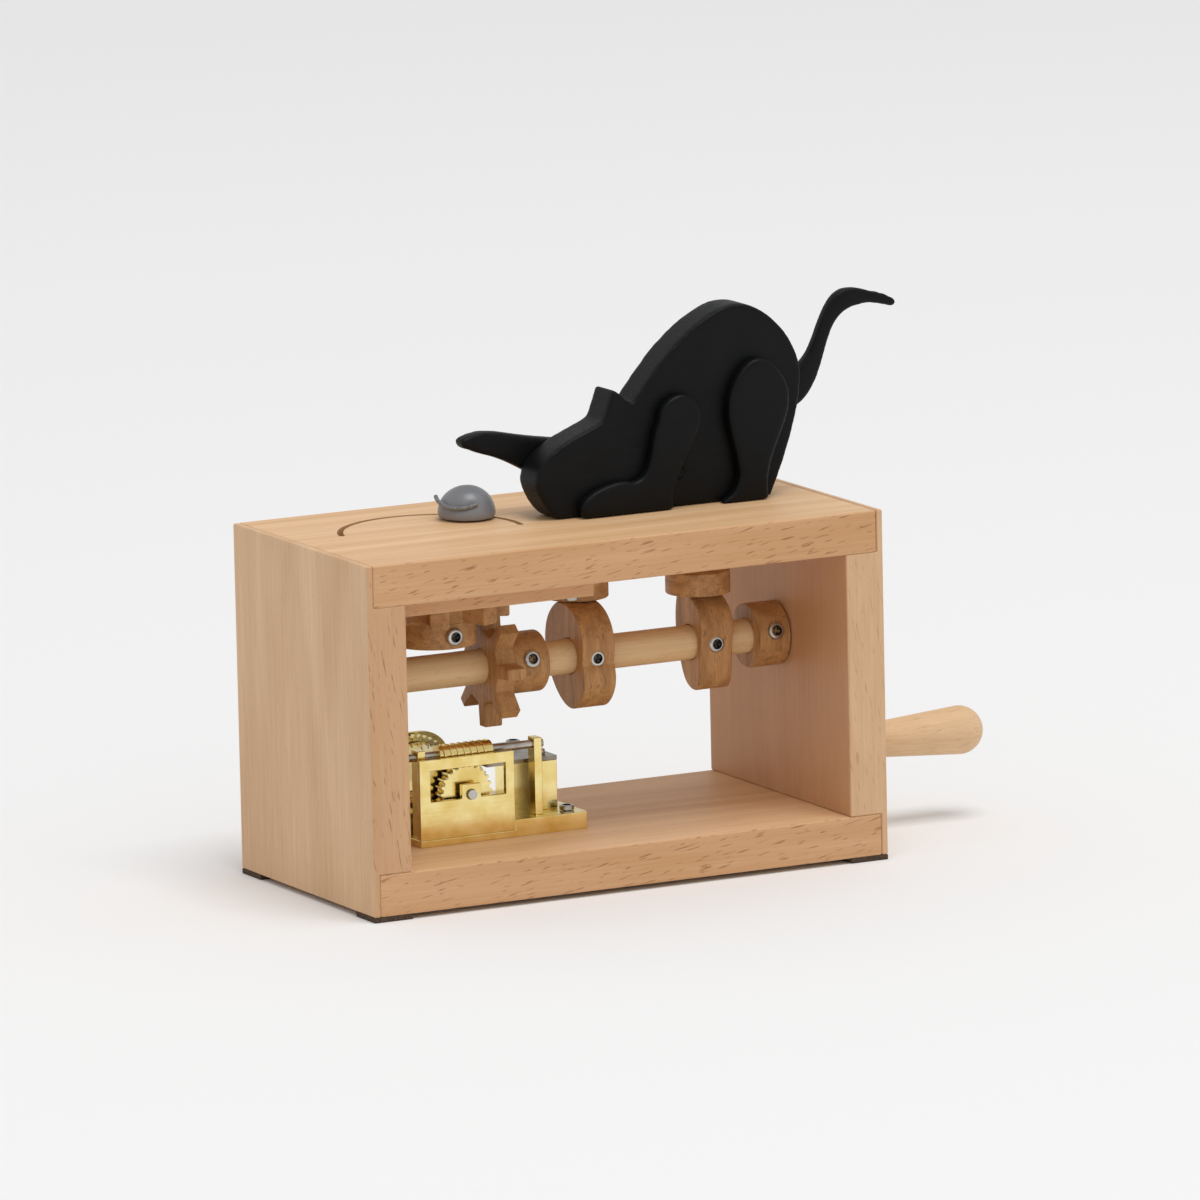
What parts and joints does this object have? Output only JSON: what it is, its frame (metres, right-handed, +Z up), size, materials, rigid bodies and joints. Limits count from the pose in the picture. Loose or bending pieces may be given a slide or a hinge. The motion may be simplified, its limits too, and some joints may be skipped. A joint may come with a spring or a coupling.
{
  "type": "cylinder music box",
  "caption": "Hand-cranked wooden music box automaton: an open case with camshaft and cylinder movement, a cat with moving paw and tail, and a mouse in a curved slot.",
  "frame": {"origin": "on the table plane under the middle of the whole box, handle included", "axes": "+X along the camshaft towards the crank, +Y from the open front to the back, +Z up"},
  "size_m": [0.218, 0.085, 0.1587],
  "materials": {
    "beech": "oiled beech boards",
    "turned_beech": "turned and oiled beech",
    "stained_wood": "reddish-brown hardwood, satin oil",
    "dowel": "pale dowel, oiled",
    "black_paint": "satin black paint on wood",
    "grey_paint": "satin grey paint on wood",
    "leather": "thin leather thong",
    "felt": "brown felt",
    "brass": "brushed brass",
    "steel": "bright steel"
  },
  "bodies": {
    "case": {"base_board": "beech", "top_board": "beech", "left_panel": "beech", "right_panel": "beech", "feet": "felt", "mouse_tray": "beech", "tray_screws": "steel", "cat_body": "black_paint", "near_foreleg": "black_paint", "near_hind_leg": "black_paint", "far_hind_leg": "black_paint", "cat_dowels": "dowel", "shoulder_pin": "steel", "tail_pivot_pin": "steel", "movement_bedplate": "brass", "movement_front_plate": "brass", "movement_rear_plate": "brass", "worm_brackets": "brass", "comb": "steel", "comb_post": "brass", "comb_screws": "steel", "bedplate_screws": "steel"},
    "camshaft": {"camshaft": "dowel", "star_gear": "stained_wood", "paw_cam": "stained_wood", "tail_cam": "stained_wood", "stop_collar": "stained_wood", "set_screws": "steel", "camshaft_gear": "brass", "crank_arm": "turned_beech"},
    "handle": {"handle": "turned_beech", "handle_pin": "steel"},
    "mouse": {"mouse_gear": "stained_wood", "mouse_gear_screw": "steel", "mouse_axle": "dowel", "mouse_arm": "stained_wood", "mouse_pin": "steel", "mouse": "grey_paint", "mouse_tail": "leather"},
    "paw_rod": {"paw_follower": "stained_wood", "paw_push_rod": "dowel"},
    "paw": {"raised_paw": "black_paint"},
    "tail_rod": {"tail_follower": "stained_wood", "tail_push_rod": "dowel"},
    "tail": {"tail": "black_paint"},
    "worm": {"worm_shaft": "steel", "worm_pinion": "brass"},
    "cylinder": {"cylinder": "brass", "cylinder_arbor": "steel", "worm_wheel": "brass", "great_wheel": "brass"}
  },
  "joints": [
    {"name": "crank_turn", "type": "hinge", "parent": "case", "child": "camshaft", "pos_m": [0, 0, 0.0608], "axis": [-1, 0, 0], "range_deg": [-10, 95]},
    {"name": "handle_spin", "type": "hinge", "parent": "camshaft", "child": "handle", "pos_m": [0.08, 0, 0.0258], "axis": [1, 0, 0], "continuous": true},
    {"name": "mouse_turn", "type": "hinge", "parent": "case", "child": "mouse", "pos_m": [-0.067, 0, 0.078], "axis": [0, 0, 1], "range_deg": [-10.1, 95.1]},
    {"name": "paw_rod_slide", "type": "slide", "parent": "case", "child": "paw_rod", "axis": [0, 0, 1], "range_m": [-0.00632, 0.00068]},
    {"name": "paw_swing", "type": "hinge", "parent": "case", "child": "paw", "pos_m": [0.009, 0.00905, 0.1115], "axis": [0, -1, 0], "range_deg": [-1.5, 13.95]},
    {"name": "tail_rod_slide", "type": "slide", "parent": "case", "child": "tail_rod", "axis": [0, 0, 1], "range_m": [-0.00649, 0.0007]},
    {"name": "tail_swing", "type": "hinge", "parent": "case", "child": "tail", "pos_m": [-0.0044, 0, 0.1225], "axis": [0, 1, 0], "range_deg": [-1.8, 16.9]},
    {"name": "worm_turn", "type": "hinge", "parent": "case", "child": "worm", "pos_m": [-0.06, -0.0095, 0.0388], "axis": [-1, 0, 0], "range_deg": [-190.5, 20.5]},
    {"name": "cylinder_turn", "type": "hinge", "parent": "case", "child": "cylinder", "pos_m": [-0.0637, 0, 0.0274], "axis": [0, 1, 0], "range_deg": [-0.9, 8]}
  ],
  "couplings": [
    {"joint": "mouse_turn", "follows": "crank_turn", "ratio": 1},
    {"joint": "paw_rod_slide", "follows": "crank_turn", "m_per_rad": -0.0038},
    {"joint": "paw_swing", "follows": "crank_turn", "ratio": 0.14615},
    {"joint": "tail_rod_slide", "follows": "crank_turn", "m_per_rad": -0.0039},
    {"joint": "tail_swing", "follows": "crank_turn", "ratio": 0.17727},
    {"joint": "worm_turn", "follows": "crank_turn", "ratio": -2},
    {"joint": "cylinder_turn", "follows": "crank_turn", "ratio": 0.083333}
  ]
}
